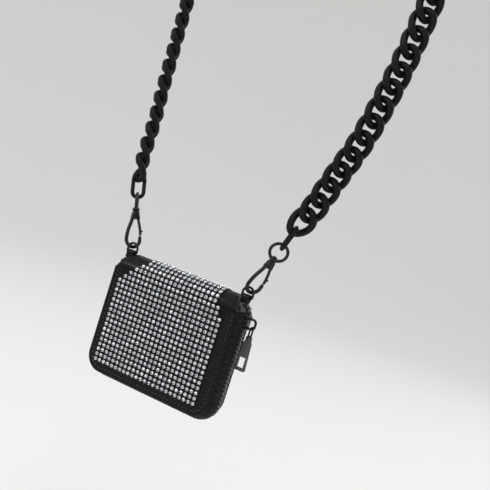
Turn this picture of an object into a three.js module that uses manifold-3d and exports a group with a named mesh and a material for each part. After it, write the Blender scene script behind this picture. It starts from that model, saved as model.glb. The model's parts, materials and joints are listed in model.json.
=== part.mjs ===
// Zip-around card wallet on a curb-chain shoulder strap.
// Millimetres, +Z up. The wallet hangs upright with its front towards -Y and its zip pull on +X.
// The origin is under the strap's highest link, where it rests on the shoulder that carries it.
import * as THREE from "three";
import { mergeVertices } from "three/addons/utils/BufferGeometryUtils.js";
import Module from "manifold-3d";

const wasm = await Module();
wasm.setup();

// ---- driving dimensions -------------------------------------------------------------------

const gap = 0.3; // between pieces that touch on the real wallet

// covers and spine
const coverWidth = 109;
const coverHeight = 80.5; // from the bottom edge to the fold line under the spine
const walletDepth = 23; // outside of one cover to the outside of the other
const coverThickness = 2;
const cornerRadius = 13;
const spineEndInset = 10.5; // how far the spine's ends draw in from the fold line to the crest

// rhinestone sheet stuck on the covers
const sheetThickness = 1.1;
const stonePitch = 3.9;
const sheetBottom = 6.7; // above the cover's bottom edge
const sheetOffset = -2; // from the middle of the cover
const sheetSideBorder = 7.7; // leather beside the sheet, the mean of both sides
const cornerCutBelowFold = 7.5; // where the sheet's corner cuts start
const leftCutColumns = 5; // columns that the sheet loses at its upper left corner
const rightCutColumns = 2;

// inside
const boardThickness = 1;
const boardInset = 3;
const layerDrop = 1; // boards and linings end this far below the fold line
const liningThickness = 0.7;
const liningInset = 2.4;
const pocketPanelThickness = 0.7;
const pocketInset = 7;
const cardPocketHeights = [62, 52, 42];
const billPocketHeight = 55;
const coinWallThickness = 0.7;
const coinCavity = 1.4;
const coinInset = 8;
const coinBottom = 9;
const coinTopDrop = 9.5; // below the fold line
const leafHingeDrop = 4;
const leafTapeThickness = 0.7;
const bindingWidth = 2;

// zip fastener
const tapeThickness = 1;
const tapeTuck = 1.4; // how far the tape reaches in behind a cover's edge
const zipBulge = 3.6; // the teeth stand this far outside the covers' edges
const teethWidth = 1.9; // each row, front to back
const teethHeight = 2;
const rowGap = 1.2; // between the two rows, where the slider's web runs
const sliderLength = 11;
const sliderWidth = 7.4;
const sliderPlate = 1.3;
const sliderWeb = 0.6;
const endCapThickness = 1.8;

// slider's crown, bail and pull tab
const crownLength = 8.5;
const crownRise = 6.2;
const crownWire = 1.5;
const bailWire = 1.3;
const bailLength = 9.5;
const bailWidth = 6;
const tabLength = 26;
const tabTopWidth = 6.4;
const tabBottomWidth = 9;
const tabThickness = 1.5;
const tabNeckWidth = 4.6;
const tabFlareHeight = 0.78; // where the flare starts, as a share of the length from the foot
const tabWindowWidth = 4.8;
const tabWindowHeight = 7.4;
const tabWindowRise = 2.4; // above the tab's foot

// D-rings and their leather tabs
const ringTabInset = 2.5; // from the cover's side edge to the tab's middle
const ringTabDrop = 0.6; // from the spine's crest down to the D-ring's bar
const ringTabLength = 4.2;
const ringTabWidth = 6.2;
const ringTabThickness = 1.2;
const dWire = 1.8;
const dHalfWidth = 4.3;
const dHeight = 7.5;
const dBend = 1.2;

// swivel hooks, their rings and the strap's end links
const hookWire = 2.8;
const hookHalfWidth = 5.6;
const hookNeckHeight = 27.5;
const hookNeckLength = 6;
const hookNeckFoot = 7.2; // the neck's width where the arm and the gate meet it
const hookNeckTop = 4.4;
const hookNeckDepth = 4;
const hookNoseHeight = 9;
const hookOutset = 1; // each hook's bend is this far outside its D-ring's middle
const ringPlay = 0.9; // the hook hangs this far short of the D-ring's crown
const gateWire = 2.2;
const gatePinDiameter = 1;
const gatePinX = 2.4;
const swivelPost = 2.4;
const swivelHead = 4.4;
const swivelHeadHeight = 1.1;
const ringRadius = 6.35;
const ringWire = 2.3;
const ringBoss = 5.4;
const endLinkLength = 21;
const endLinkWidth = 11.5;
const endLinkWire = 3;

// strap chain, as the round space that its curb links fill
const chainDiameter = 17;
const chainSides = 10;
const chainSteps = 24;

// ---- places worked out from them ----------------------------------------------------------

const halfWidth = coverWidth / 2;
const halfDepth = walletDepth / 2;
const foldLine = coverHeight;
const layerTop = foldLine - layerDrop;
const coinTop = foldLine - coinTopDrop;
const leafHingeHeight = foldLine - leafHingeDrop;
const coverInner = halfDepth - coverThickness;
const boardInner = coverInner - gap - boardThickness;
const liningInner = boardInner - gap - liningThickness;
const pocketStep = pocketPanelThickness + gap;
const spineTop = foldLine + halfDepth;
const stoneColumns = Math.round((coverWidth - 2 * sheetSideBorder) / stonePitch);
const squareRows = Math.round((foldLine - sheetBottom - cornerCutBelowFold) / stonePitch);
const sheetLeft = sheetOffset - (stoneColumns * stonePitch) / 2;
const sheetRight = sheetOffset + (stoneColumns * stonePitch) / 2;
const sheetCutStart = sheetBottom + squareRows * stonePitch;
const spineSheetLeft = sheetLeft + leftCutColumns * stonePitch;
const spineSheetRight = sheetRight - rightCutColumns * stonePitch;
const teethNear = rowGap / 2;
const teethFar = teethNear + teethWidth;
const teethX = halfWidth + zipBulge - teethHeight / 2;
const sliderZ = foldLine - gap - sliderLength / 2;
const bailPivotX = halfWidth + zipBulge + gap + sliderPlate + crownRise - crownWire - bailWire / 2 - gap;
const bailPivotZ = sliderZ - crownLength / 2 + crownWire + bailWire / 2 + gap;
const tabPivotZ = bailPivotZ - bailLength + bailWire;

const ringTabCentre = halfWidth - ringTabInset;
const dBarHeight = spineTop - ringTabDrop;
const gatePinZ = hookNeckHeight - hookNeckLength + 1.4;

const endCapRadius = dBarHeight - ringTabLength - gap - foldLine - gap / 2 - endCapThickness / 2;

// Each hook hangs from the middle of its lowest bend. Its axis points up along the strap.
const hookX = ringTabCentre + hookOutset;
const hookZ = dBarHeight + dHeight - dWire / 2 - hookWire / 2 - ringPlay;
const sides = {
  right: { hook: [hookX, 0, hookZ], axis: [0.34, 0, 0.94], hookTurn: 60, ringTurn: 30, linkTurn: 120 },
  left: { hook: [-hookX, 0, hookZ], axis: [-0.3, 0.1, 0.95], hookTurn: 60, ringTurn: 120, linkTurn: 30 },
};
const bossBottom = hookNeckHeight + gap;
const ringCentre = bossBottom + ringWire / 2 + ringRadius;
const endLinkCentre = ringCentre + ringRadius - ringWire / 2 - gap - endLinkWire / 2
  + (endLinkLength - endLinkWire) / 2;
const chainStart = endLinkCentre + endLinkLength / 2 + gap;

// ---- materials ----------------------------------------------------------------------------

const material = (color, roughness, metalness) =>
  new THREE.MeshStandardMaterial({ color, roughness, metalness });
const leather = material(0x17171a, 0.5, 0);
const rhinestones = material(0xb9bdc2, 0.2, 0.2);
const board = material(0x6b5a45, 0.9, 0);
const lining = material(0x202024, 0.85, 0);
const tape = material(0x151517, 0.9, 0);
const teeth = material(0x1b1b1e, 0.45, 0.1);
const blackMetal = material(0x121214, 0.35, 0.8);
const mattMetal = material(0x191a1c, 0.65, 0.4);

// ---- helpers ------------------------------------------------------------------------------

const strapRest = new THREE.Vector3(18, 21, 480);
const wallet = new THREE.Group();
wallet.position.copy(strapRest).negate();
const object = new THREE.Group();
object.add(wallet);

function addPiece(name, geometry, finish, parent = wallet) {
  const mesh = new THREE.Mesh(geometry, finish);
  mesh.name = name;
  parent.add(mesh);
  return mesh;
}

// A plane path drawn in x and z, as a curve in space.
class PlaneCurve extends THREE.Curve {
  constructor(path) {
    super();
    this.path = path;
  }

  getPoint(t, target = new THREE.Vector3()) {
    const point = this.path.getPointAt(Math.min(Math.max(t, 0), 1));
    return target.set(point.x, 0, point.y);
  }
}

// A plate of an outline drawn in x and z, from y = near to y = far.
function plate(shape, near, far, curveSegments = 8) {
  const geometry = new THREE.ExtrudeGeometry(shape, {
    depth: far - near, bevelEnabled: false, curveSegments,
  });
  return geometry.rotateX(Math.PI / 2).translate(0, far, 0);
}

// A bar of an outline drawn in y and z, from x = left to x = right.
function bar(shape, left, right, curveSegments = 16) {
  const geometry = new THREE.ExtrudeGeometry(shape, {
    depth: right - left, bevelEnabled: false, curveSegments,
  });
  return geometry.rotateX(Math.PI / 2).rotateZ(Math.PI / 2).translate(left, 0, 0);
}

function box(left, right, near, far, bottom, top) {
  const geometry = new THREE.BoxGeometry(right - left, far - near, top - bottom);
  return geometry.translate((left + right) / 2, (near + far) / 2, (bottom + top) / 2);
}

function polygon(points) {
  return new THREE.Shape(points.map(([x, y]) => new THREE.Vector2(x, y)));
}

function circle(radius, sideCount) {
  const points = [];
  for (let i = 0; i < sideCount; i += 1) {
    const angle = (2 * Math.PI * i) / sideCount;
    points.push([radius * Math.cos(angle), radius * Math.sin(angle)]);
  }
  return polygon(points);
}

function rod(curve, wire, steps, sideCount = 10) {
  return new THREE.ExtrudeGeometry(circle(wire / 2, sideCount), {
    steps, extrudePath: curve, bevelEnabled: false,
  });
}

// A closed ring of round wire along a closed plane path. The swept wall is kept without the two end
// lids, which lie on each other, and its first and last rings of vertices are merged.
function wireLoop(path, wire, steps, sideCount = 10) {
  const swept = rod(new PlaneCurve(path), wire, steps, sideCount);
  const wall = swept.groups[1];
  const positions = swept.attributes.position.array.slice(wall.start * 3, (wall.start + wall.count) * 3);
  const geometry = new THREE.BufferGeometry();
  geometry.setAttribute("position", new THREE.BufferAttribute(positions, 3));
  return mergeVertices(geometry, 1e-3);
}

function solid(geometry) {
  const bare = geometry.clone();
  bare.deleteAttribute("normal");
  bare.deleteAttribute("uv");
  bare.clearGroups();
  const merged = mergeVertices(bare, 1e-4);
  const triVerts = merged.index
    ? new Uint32Array(merged.index.array)
    : new Uint32Array(merged.attributes.position.count).map((_, i) => i);
  return new wasm.Manifold(new wasm.Mesh({
    numProp: 3, vertProperties: new Float32Array(merged.attributes.position.array), triVerts,
  }));
}

function fromSolid(manifold) {
  const mesh = manifold.getMesh();
  const geometry = new THREE.BufferGeometry();
  geometry.setAttribute("position", new THREE.BufferAttribute(new Float32Array(mesh.vertProperties), 3));
  geometry.setIndex(new THREE.BufferAttribute(new Uint32Array(mesh.triVerts), 1));
  return geometry;
}

function join(...geometries) {
  return fromSolid(geometries.map(solid).reduce((whole, next) => whole.add(next)));
}

function cut(geometry, ...cutters) {
  return fromSolid(cutters.map(solid).reduce((whole, next) => whole.subtract(next), solid(geometry)));
}

function uprightCylinder(diameter, bottom, top, sideCount = 24) {
  const geometry = new THREE.CylinderGeometry(diameter / 2, diameter / 2, top - bottom, sideCount);
  return geometry.rotateX(Math.PI / 2).translate(0, 0, (bottom + top) / 2);
}

function crossCylinder(diameter, halfLength, x, z, sideCount = 16) {
  const geometry = new THREE.CylinderGeometry(diameter / 2, diameter / 2, 2 * halfLength, sideCount);
  return geometry.translate(x, 0, z);
}

// ---- outlines -----------------------------------------------------------------------------

// The cover's outline drawn in by an inset: straight sides, round lower corners, top at the fold.
function coverOutline(inset, top) {
  const x = halfWidth - inset;
  const radius = Math.max(cornerRadius - inset, 1);
  const shape = new THREE.Shape();
  shape.moveTo(-x, top);
  shape.lineTo(-x, inset + radius);
  shape.absarc(-x + radius, inset + radius, radius, Math.PI, 1.5 * Math.PI, false);
  shape.lineTo(x - radius, inset);
  shape.absarc(x - radius, inset + radius, radius, -Math.PI / 2, 0, false);
  shape.lineTo(x, top);
  shape.closePath();
  return shape;
}

// The edge that the zip follows: down the right side, along the bottom and up the left side.
function zipPath(top) {
  const path = new THREE.Path();
  path.moveTo(halfWidth, top);
  path.lineTo(halfWidth, cornerRadius);
  path.absarc(halfWidth - cornerRadius, cornerRadius, cornerRadius, 0, -Math.PI / 2, true);
  path.lineTo(-halfWidth + cornerRadius, 0);
  path.absarc(-halfWidth + cornerRadius, cornerRadius, cornerRadius, -Math.PI / 2, -Math.PI, true);
  path.lineTo(-halfWidth, top);
  return new PlaneCurve(path);
}

// A strip swept round the zip's path. Its section is given as [outwards from the edge, y].
function zipStrip(section, top) {
  const shape = polygon(section.map(([outwards, y]) => [-y, -outwards]));
  return new THREE.ExtrudeGeometry(shape, { steps: 72, extrudePath: zipPath(top), bevelEnabled: false });
}

// The spine's arch between two radii, clear of the fold line by half a gap, as a section in y and z.
function archSection(outer, inner) {
  const lift = gap / 2;
  const shape = new THREE.Shape();
  const outerStart = Math.asin(lift / outer);
  const innerStart = Math.asin(lift / inner);
  shape.absarc(0, foldLine, outer, outerStart, Math.PI - outerStart, false);
  shape.absarc(0, foldLine, inner, Math.PI - innerStart, innerStart, true);
  shape.closePath();
  return shape;
}

// ---- covers, spine and rhinestone sheet ---------------------------------------------------

// The front half turns about this line when the wallet is opened.
const front = new THREE.Group();
wallet.add(front);

function coverWith(name, near, far, parent) {
  addPiece(name, plate(coverOutline(0, foldLine - gap / 2), near, far, 10), leather, parent);
}

coverWith("front_cover", -halfDepth, -coverInner, front);
coverWith("back_cover", coverInner, halfDepth, wallet);

function endWedge(side, inset) {
  const outside = side * (halfWidth + 10);
  const foot = side * (halfWidth + 0.5);
  const crest = side * (halfWidth - inset);
  const wedge = polygon([[foot, foldLine - 1], [crest, spineTop + 2], [outside, spineTop + 2],
    [outside, foldLine - 1]]);
  return plate(wedge, -halfDepth - 2, halfDepth + 2);
}

function spineLayer(outer, inner, inset) {
  const arch = bar(archSection(outer, inner), -halfWidth, halfWidth);
  return cut(arch, endWedge(1, inset), endWedge(-1, inset));
}

addPiece("spine_cover", spineLayer(halfDepth, coverInner, spineEndInset), leather);
addPiece("spine_lining",
  spineLayer(coverInner - gap, coverInner - gap - liningThickness, spineEndInset + 1),
  lining);

// The sheet on one cover: square below, with both upper corners cut at 45 degrees.
function sheetOutline() {
  const top = foldLine - gap / 2;
  const rise = top - sheetCutStart;
  const leftCut = Math.min(rise, leftCutColumns * stonePitch);
  const rightCut = Math.min(rise, rightCutColumns * stonePitch);
  return polygon([
    [sheetLeft, sheetBottom], [sheetRight, sheetBottom], [sheetRight, sheetCutStart],
    [sheetRight - rightCut, sheetCutStart + rightCut], [sheetRight - rightCut, top],
    [sheetLeft + leftCut, top], [sheetLeft + leftCut, sheetCutStart + leftCut], [sheetLeft, sheetCutStart],
  ].filter(([x, z], i, all) => i === 0 || x !== all[i - 1][0] || z !== all[i - 1][1]));
}

const sheetNear = halfDepth + gap;
const sheetFar = sheetNear + sheetThickness;
addPiece("front_stone_sheet", plate(sheetOutline(), -sheetFar, -sheetNear), rhinestones, front);
addPiece("back_stone_sheet", plate(sheetOutline(), sheetNear, sheetFar), rhinestones);
addPiece("spine_stone_sheet", bar(archSection(sheetFar, sheetNear), spineSheetLeft, spineSheetRight),
  rhinestones);

// ---- boards, linings and pockets ----------------------------------------------------------

function innerLayer(name, inset, top, near, thickness, side, finish, parent) {
  const far = near + thickness;
  const [low, high] = side < 0 ? [-far, -near] : [near, far];
  return addPiece(name, plate(coverOutline(inset, top), low, high, 5), finish, parent);
}

innerLayer("front_board", boardInset, layerTop, boardInner, boardThickness, -1, board, front);
innerLayer("back_board", boardInset, layerTop, boardInner, boardThickness, 1, board, wallet);
innerLayer("front_lining", liningInset, layerTop, liningInner, liningThickness, -1, lining, front);
innerLayer("back_lining", liningInset, layerTop, liningInner, liningThickness, 1, lining, wallet);
innerLayer("front_bill_pocket",
  pocketInset, billPocketHeight, liningInner - pocketStep, pocketPanelThickness,
  -1, lining, front);
cardPocketHeights.forEach((height, i) => {
  innerLayer(`card_pocket_${i + 1}`, pocketInset, height, liningInner - (i + 1) * pocketStep,
    pocketPanelThickness, 1, lining, wallet);
});

// ---- coin pocket leaf ---------------------------------------------------------------------

const leaf = new THREE.Group();
wallet.add(leaf);
const coinHalf = halfWidth - coinInset;
const cavityHalf = coinCavity / 2;
const coinOutside = cavityHalf + coinWallThickness;

addPiece("coin_pocket_front",
  box(-coinHalf, coinHalf, -coinOutside, -cavityHalf, coinBottom, coinTop), lining,
  leaf);
addPiece("coin_pocket_back",
  box(-coinHalf, coinHalf, cavityHalf, coinOutside, coinBottom, coinTop), lining,
  leaf);
const bindingHalf = cavityHalf - gap / 2;
addPiece("coin_pocket_binding", cut(
  box(-coinHalf, coinHalf, -bindingHalf, bindingHalf, coinBottom, coinTop),
  box(-coinHalf + bindingWidth, coinHalf - bindingWidth,
    -coinOutside, coinOutside, coinBottom + bindingWidth,
    coinTop + 1),
), tape, leaf);
const coinZipTop = leafHingeHeight - gap / 2;
addPiece("coin_zip_chain",
  box(-coinHalf, coinHalf, -coinOutside, coinOutside, coinTop + gap, coinZipTop), teeth,
  leaf);
addPiece("coin_zip_slider", join(
  box(-coinHalf + 3, -coinHalf + 9, -coinOutside - 1.3, -coinOutside - gap,
    coinTop - 0.5, coinZipTop - 0.6),
  box(-coinHalf + 4.5, -coinHalf + 7.5, -coinOutside - 1.3, -coinOutside - 0.5, coinTop - 10, coinTop),
), blackMetal, leaf);
const leafTapeTop = foldLine + coverInner - 2 * gap - liningThickness - 0.1;
addPiece("leaf_tape", box(-coinHalf + 2, coinHalf - 2, -leafTapeThickness / 2, leafTapeThickness / 2,
  leafHingeHeight + gap / 2, leafTapeTop), tape);

// ---- zip round three sides ----------------------------------------------------------------

// A tape starts behind the cover's edge and bellies out to the teeth.
function tapeSection(side) {
  const start = coverInner - gap;
  const end = teethFar + gap;
  const rim = zipBulge - teethHeight / 2 - tapeThickness / 2;
  const belly = (rim - tapeTuck) / 2 + 0.05;
  const inner = [[-tapeTuck, start], [belly, (start + end) / 2], [rim, end]];
  const outer = inner.map(([outwards, y]) => [outwards + tapeThickness, y]).reverse();
  return [...inner, ...outer].map(([outwards, y]) => [outwards, side * y]);
}

function teethSection(side) {
  const low = zipBulge - teethHeight;
  return [[low, teethNear], [zipBulge, teethNear], [zipBulge, teethFar], [low, teethFar]]
    .map(([outwards, y]) => [outwards, side * y]);
}

const zipTop = foldLine - gap;
addPiece("front_zip_tape", zipStrip(tapeSection(-1), zipTop), tape, front);
addPiece("back_zip_tape", zipStrip(tapeSection(1), zipTop), tape);
addPiece("front_zip_teeth", zipStrip(teethSection(-1), zipTop), teeth, front);
addPiece("back_zip_teeth", zipStrip(teethSection(1), zipTop), teeth);

// The tape's ends turn in over the upper corners and are tucked under the D-ring tabs.
function endCap(side) {
  const centreX = teethX - endCapRadius + teethHeight / 2 - endCapThickness / 2;
  const path = new THREE.Path();
  path.absarc(centreX, foldLine + gap / 2, endCapRadius, 0, Math.PI / 2, false);
  const strip = polygon([[-teethFar, -endCapThickness / 2], [teethFar, -endCapThickness / 2],
    [teethFar, endCapThickness / 2], [-teethFar, endCapThickness / 2]]);
  const geometry = new THREE.ExtrudeGeometry(strip, {
    steps: 8, extrudePath: new PlaneCurve(path), bevelEnabled: false,
  });
  return side > 0 ? geometry : geometry.rotateZ(Math.PI);
}

addPiece("right_zip_end", endCap(1), tape);
addPiece("left_zip_end", endCap(-1), tape);

// ---- slider, bail and pull tab ------------------------------------------------------------

const slider = new THREE.Group();
slider.position.set(0, 0, sliderZ);
wallet.add(slider);

function zipSlider() {
  const half = sliderLength / 2;
  const outerNear = halfWidth + zipBulge + gap;
  const outerFar = outerNear + sliderPlate;
  const innerFar = halfWidth + zipBulge - teethHeight - gap;
  const innerNear = innerFar - sliderPlate;
  const outerPlate = box(outerNear, outerFar, -sliderWidth / 2, sliderWidth / 2, -half, half);
  const innerPlate = box(innerNear, innerFar, -teethFar, teethFar, -half, half);
  const web = box(innerNear + 0.4, outerNear + 0.4, -sliderWeb / 2, sliderWeb / 2, -half + 1, half - 1);
  const crown = new THREE.Path();
  const foot = outerFar - 0.5;
  const top = outerFar + crownRise - crownWire / 2;
  const bend = 2;
  const reach = (crownLength - crownWire) / 2;
  crown.moveTo(foot, -reach);
  crown.lineTo(top - bend, -reach);
  crown.absarc(top - bend, -reach + bend, bend, -Math.PI / 2, 0, false);
  crown.lineTo(top, reach - bend);
  crown.absarc(top - bend, reach - bend, bend, 0, Math.PI / 2, false);
  crown.lineTo(foot, reach);
  return join(outerPlate, innerPlate, web, rod(new PlaneCurve(crown), crownWire, 20));
}

addPiece("zip_slider", zipSlider(), blackMetal, slider);

// A rectangular wire link in the y-z plane, hanging from its top bar.
function roundedLoop(halfX, low, high, bend) {
  const path = new THREE.Path();
  path.moveTo(halfX, (low + high) / 2);
  path.lineTo(halfX, high - bend);
  path.absarc(halfX - bend, high - bend, bend, 0, Math.PI / 2, false);
  path.lineTo(-halfX + bend, high);
  path.absarc(-halfX + bend, high - bend, bend, Math.PI / 2, Math.PI, false);
  path.lineTo(-halfX, low + bend);
  path.absarc(-halfX + bend, low + bend, bend, Math.PI, 1.5 * Math.PI, false);
  path.lineTo(halfX - bend, low);
  path.absarc(halfX - bend, low + bend, bend, 1.5 * Math.PI, 2 * Math.PI, false);
  path.lineTo(halfX, (low + high) / 2);
  return path;
}

const bail = new THREE.Group();
bail.position.set(bailPivotX, 0, bailPivotZ - sliderZ);
slider.add(bail);
const bailLoop = roundedLoop((bailWidth - bailWire) / 2, -bailLength + bailWire, 0, 1);
addPiece("pull_bail", wireLoop(bailLoop, bailWire, 48, 8).rotateZ(Math.PI / 2), blackMetal, bail);

const tabGroup = new THREE.Group();
tabGroup.position.set(0, 0, tabPivotZ - bailPivotZ);
bail.add(tabGroup);

// A flat stamped tab: an eye on the bail, a short neck, and a window near the flared foot.
function pullTab() {
  const eye = tabNeckWidth / 2;
  const bottom = eye - tabLength;
  const shoulder = bottom + tabLength * tabFlareHeight;
  const shape = new THREE.Shape();
  shape.absarc(0, 0, eye, 0, Math.PI, false);
  shape.lineTo(-eye, shoulder + 1.5);
  shape.lineTo(-tabTopWidth / 2, shoulder);
  shape.lineTo(-tabBottomWidth / 2, bottom + 1);
  shape.lineTo(-tabBottomWidth / 2 + 1, bottom);
  shape.lineTo(tabBottomWidth / 2 - 1, bottom);
  shape.lineTo(tabBottomWidth / 2, bottom + 1);
  shape.lineTo(tabTopWidth / 2, shoulder);
  shape.lineTo(eye, shoulder + 1.5);
  shape.closePath();
  const hole = new THREE.Path();
  hole.absarc(0, 0, bailWire / 2 + gap, 0, 2 * Math.PI, true);
  const slotFoot = bottom + tabWindowRise;
  const slot = new THREE.Path([
    new THREE.Vector2(-tabWindowWidth / 2, slotFoot),
    new THREE.Vector2(-tabWindowWidth / 2, slotFoot + tabWindowHeight),
    new THREE.Vector2(tabWindowWidth / 2, slotFoot + tabWindowHeight),
    new THREE.Vector2(tabWindowWidth / 2, slotFoot),
  ]);
  shape.holes.push(hole, slot);
  return plate(shape, -tabThickness / 2, tabThickness / 2, 8);
}

addPiece("pull_tab", pullTab(), blackMetal, tabGroup);

// ---- D-rings on their leather tabs --------------------------------------------------------

function ringTab(x) {
  const inner = dWire / 2 + gap;
  const outer = inner + ringTabThickness;
  const foot = dBarHeight - ringTabLength;
  const shape = new THREE.Shape();
  shape.moveTo(outer, foot);
  shape.absarc(0, dBarHeight, outer, 0, Math.PI, false);
  shape.lineTo(-outer, foot);
  shape.lineTo(-inner, foot);
  shape.absarc(0, dBarHeight, inner, Math.PI, 0, true);
  shape.lineTo(inner, foot);
  shape.closePath();
  return bar(shape, x - ringTabWidth / 2, x + ringTabWidth / 2, 10);
}

function dRing() {
  const path = new THREE.Path();
  path.moveTo(0, 0);
  path.lineTo(dHalfWidth - dBend, 0);
  path.absarc(dHalfWidth - dBend, dBend, dBend, -Math.PI / 2, 0, false);
  path.lineTo(dHalfWidth, dHeight - dHalfWidth);
  path.absarc(0, dHeight - dHalfWidth, dHalfWidth, 0, Math.PI, false);
  path.lineTo(-dHalfWidth, dBend);
  path.absarc(-dHalfWidth + dBend, dBend, dBend, Math.PI, 1.5 * Math.PI, false);
  path.lineTo(0, 0);
  return wireLoop(path, dWire, 56, 10);
}

// ---- swivel hooks -------------------------------------------------------------------------

// In a hook's own frame z runs up its axis from the middle of its lowest bend, and the loop lies in
// the x-z plane.
const armTop = hookNeckHeight - hookNeckLength + 1;
const armTopX = 2.1;

function hookBody() {
  const path = new THREE.Path();
  path.moveTo(-armTopX, armTop);
  path.bezierCurveTo(-armTopX - 0.6, armTop - 5, -hookHalfWidth, hookHalfWidth + 7, -hookHalfWidth,
    hookHalfWidth);
  path.absarc(0, hookHalfWidth, hookHalfWidth, Math.PI, 2 * Math.PI, false);
  path.lineTo(hookHalfWidth, hookNoseHeight);
  const frame = rod(new PlaneCurve(path), hookWire, 34, 12);
  const neckBottom = hookNeckHeight - hookNeckLength;
  const neck = plate(polygon([[-hookNeckFoot / 2, neckBottom], [hookNeckFoot / 2, neckBottom],
    [hookNeckTop / 2, hookNeckHeight], [-hookNeckTop / 2, hookNeckHeight]]), -hookNeckDepth / 2,
  hookNeckDepth / 2);
  const slot = box(1.2, 4, -gateWire / 2 - gap, gateWire / 2 + gap, neckBottom - 1, neckBottom + 3);
  const post = uprightCylinder(swivelPost, hookNeckHeight - 0.5, bossBottom + ringWire + gap + 0.2);
  const headBottom = bossBottom + ringWire + gap;
  const head = uprightCylinder(swivelHead, headBottom, headBottom + swivelHeadHeight);
  const pinHole = crossCylinder(gatePinDiameter + 2 * gap, 4, gatePinX, gatePinZ, 12);
  return cut(join(frame, neck, post, head), slot, pinHole);
}

function hookGate() {
  const noseTop = hookNoseHeight + 2 * gap;
  const path = new THREE.Path();
  path.moveTo(hookHalfWidth, noseTop);
  path.bezierCurveTo(hookHalfWidth, noseTop + 4, gatePinX + 0.9, gatePinZ - 4, gatePinX, gatePinZ + 0.5);
  const finger = rod(new PlaneCurve(path), gateWire, 12, 10);
  const pinHole = crossCylinder(gatePinDiameter + 2 * gap, 4, gatePinX, gatePinZ, 12);
  return cut(finger, pinHole);
}

function swivelRing() {
  const path = new THREE.Path();
  path.absarc(0, ringCentre, ringRadius, 0, 2 * Math.PI, false);
  const ring = wireLoop(path, ringWire, 40, 10);
  const boss = uprightCylinder(ringBoss, bossBottom, bossBottom + ringWire);
  const bore = uprightCylinder(swivelPost + 2 * gap, bossBottom - 2, bossBottom + ringWire + 0.1);
  const headRoom = uprightCylinder(
    swivelHead + 2 * gap, bossBottom + ringWire, bossBottom + ringWire + 3,
  );
  return cut(join(ring, boss), bore, headRoom);
}

function endLink() {
  const halfX = (endLinkWidth - endLinkWire) / 2;
  const reach = (endLinkLength - endLinkWire) / 2;
  const path = roundedLoop(halfX, endLinkCentre - reach, endLinkCentre + reach, halfX - 0.01);
  return wireLoop(path, endLinkWire, 48, 10);
}

for (const [side, place] of Object.entries(sides)) {
  const sign = side === "right" ? 1 : -1;
  addPiece(`${side}_ring_tab`, ringTab(sign * ringTabCentre), leather);
  const ring = addPiece(`${side}_d_ring`, dRing(), blackMetal);
  ring.position.set(sign * ringTabCentre, 0, dBarHeight);

  const line = new THREE.Group();
  line.position.set(...place.hook);
  const axis = new THREE.Vector3(...place.axis).normalize();
  line.quaternion.setFromUnitVectors(new THREE.Vector3(0, 0, 1), axis);
  wallet.add(line);

  const turned = (degrees) => {
    const group = new THREE.Group();
    group.rotation.z = THREE.MathUtils.degToRad(degrees);
    line.add(group);
    return group;
  };
  const hook = turned(place.hookTurn);
  addPiece(`${side}_hook`, hookBody(), blackMetal, hook);
  addPiece(`${side}_hook_gate`, hookGate(), blackMetal, hook);
  addPiece(`${side}_gate_pin`,
    crossCylinder(gatePinDiameter, 1.9, gatePinX, gatePinZ, 12), blackMetal, hook);
  addPiece(`${side}_swivel_ring`, swivelRing(), blackMetal, turned(place.ringTurn));
  addPiece(`${side}_end_link`, endLink(), mattMetal, turned(place.linkTurn));
}

// ---- strap chain --------------------------------------------------------------------------

function chainEnd(place) {
  const axis = new THREE.Vector3(...place.axis).normalize();
  return new THREE.Vector3(...place.hook).addScaledVector(axis, chainStart);
}

// The strap's route from the right hook over the shoulder to the left hook. It widens with the hooks.
const routeHookX = 53;
const routeMiddle = [
  [80, 0, 165], [88.5, 0, 190], [97, 1, 216], [103, 2, 244], [107.5, 4, 274], [110.5, 6, 306],
  [112, 8, 340], [110, 11, 376], [102, 14, 412], [86, 17, 446], [58, 20, 476], [18, 21, 488.5],
  [-24, 22, 477], [-54, 23, 448], [-73, 24, 413], [-83, 25, 376], [-87, 25, 338], [-88, 24, 300],
  [-86, 22, 264], [-82, 18, 228], [-77.5, 14, 196],
];

const route = new THREE.CatmullRomCurve3([
  chainEnd(sides.right),
  ...routeMiddle.map(([x, y, z]) => new THREE.Vector3((x * hookX) / routeHookX, y, z)),
  chainEnd(sides.left),
], false, "centripetal");
addPiece("strap_chain", rod(route, chainDiameter, chainSteps, chainSides), mattMetal);

export default object;
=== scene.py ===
"""Zip-around chain wallet: soft goods, stones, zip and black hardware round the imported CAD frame."""

import json
import math
import random

import bmesh
import bpy
from bpy.props import FloatProperty, FloatVectorProperty, IntProperty, PointerProperty
from mathutils import Matrix, Vector
from mathutils.geometry import interpolate_bezier


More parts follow.
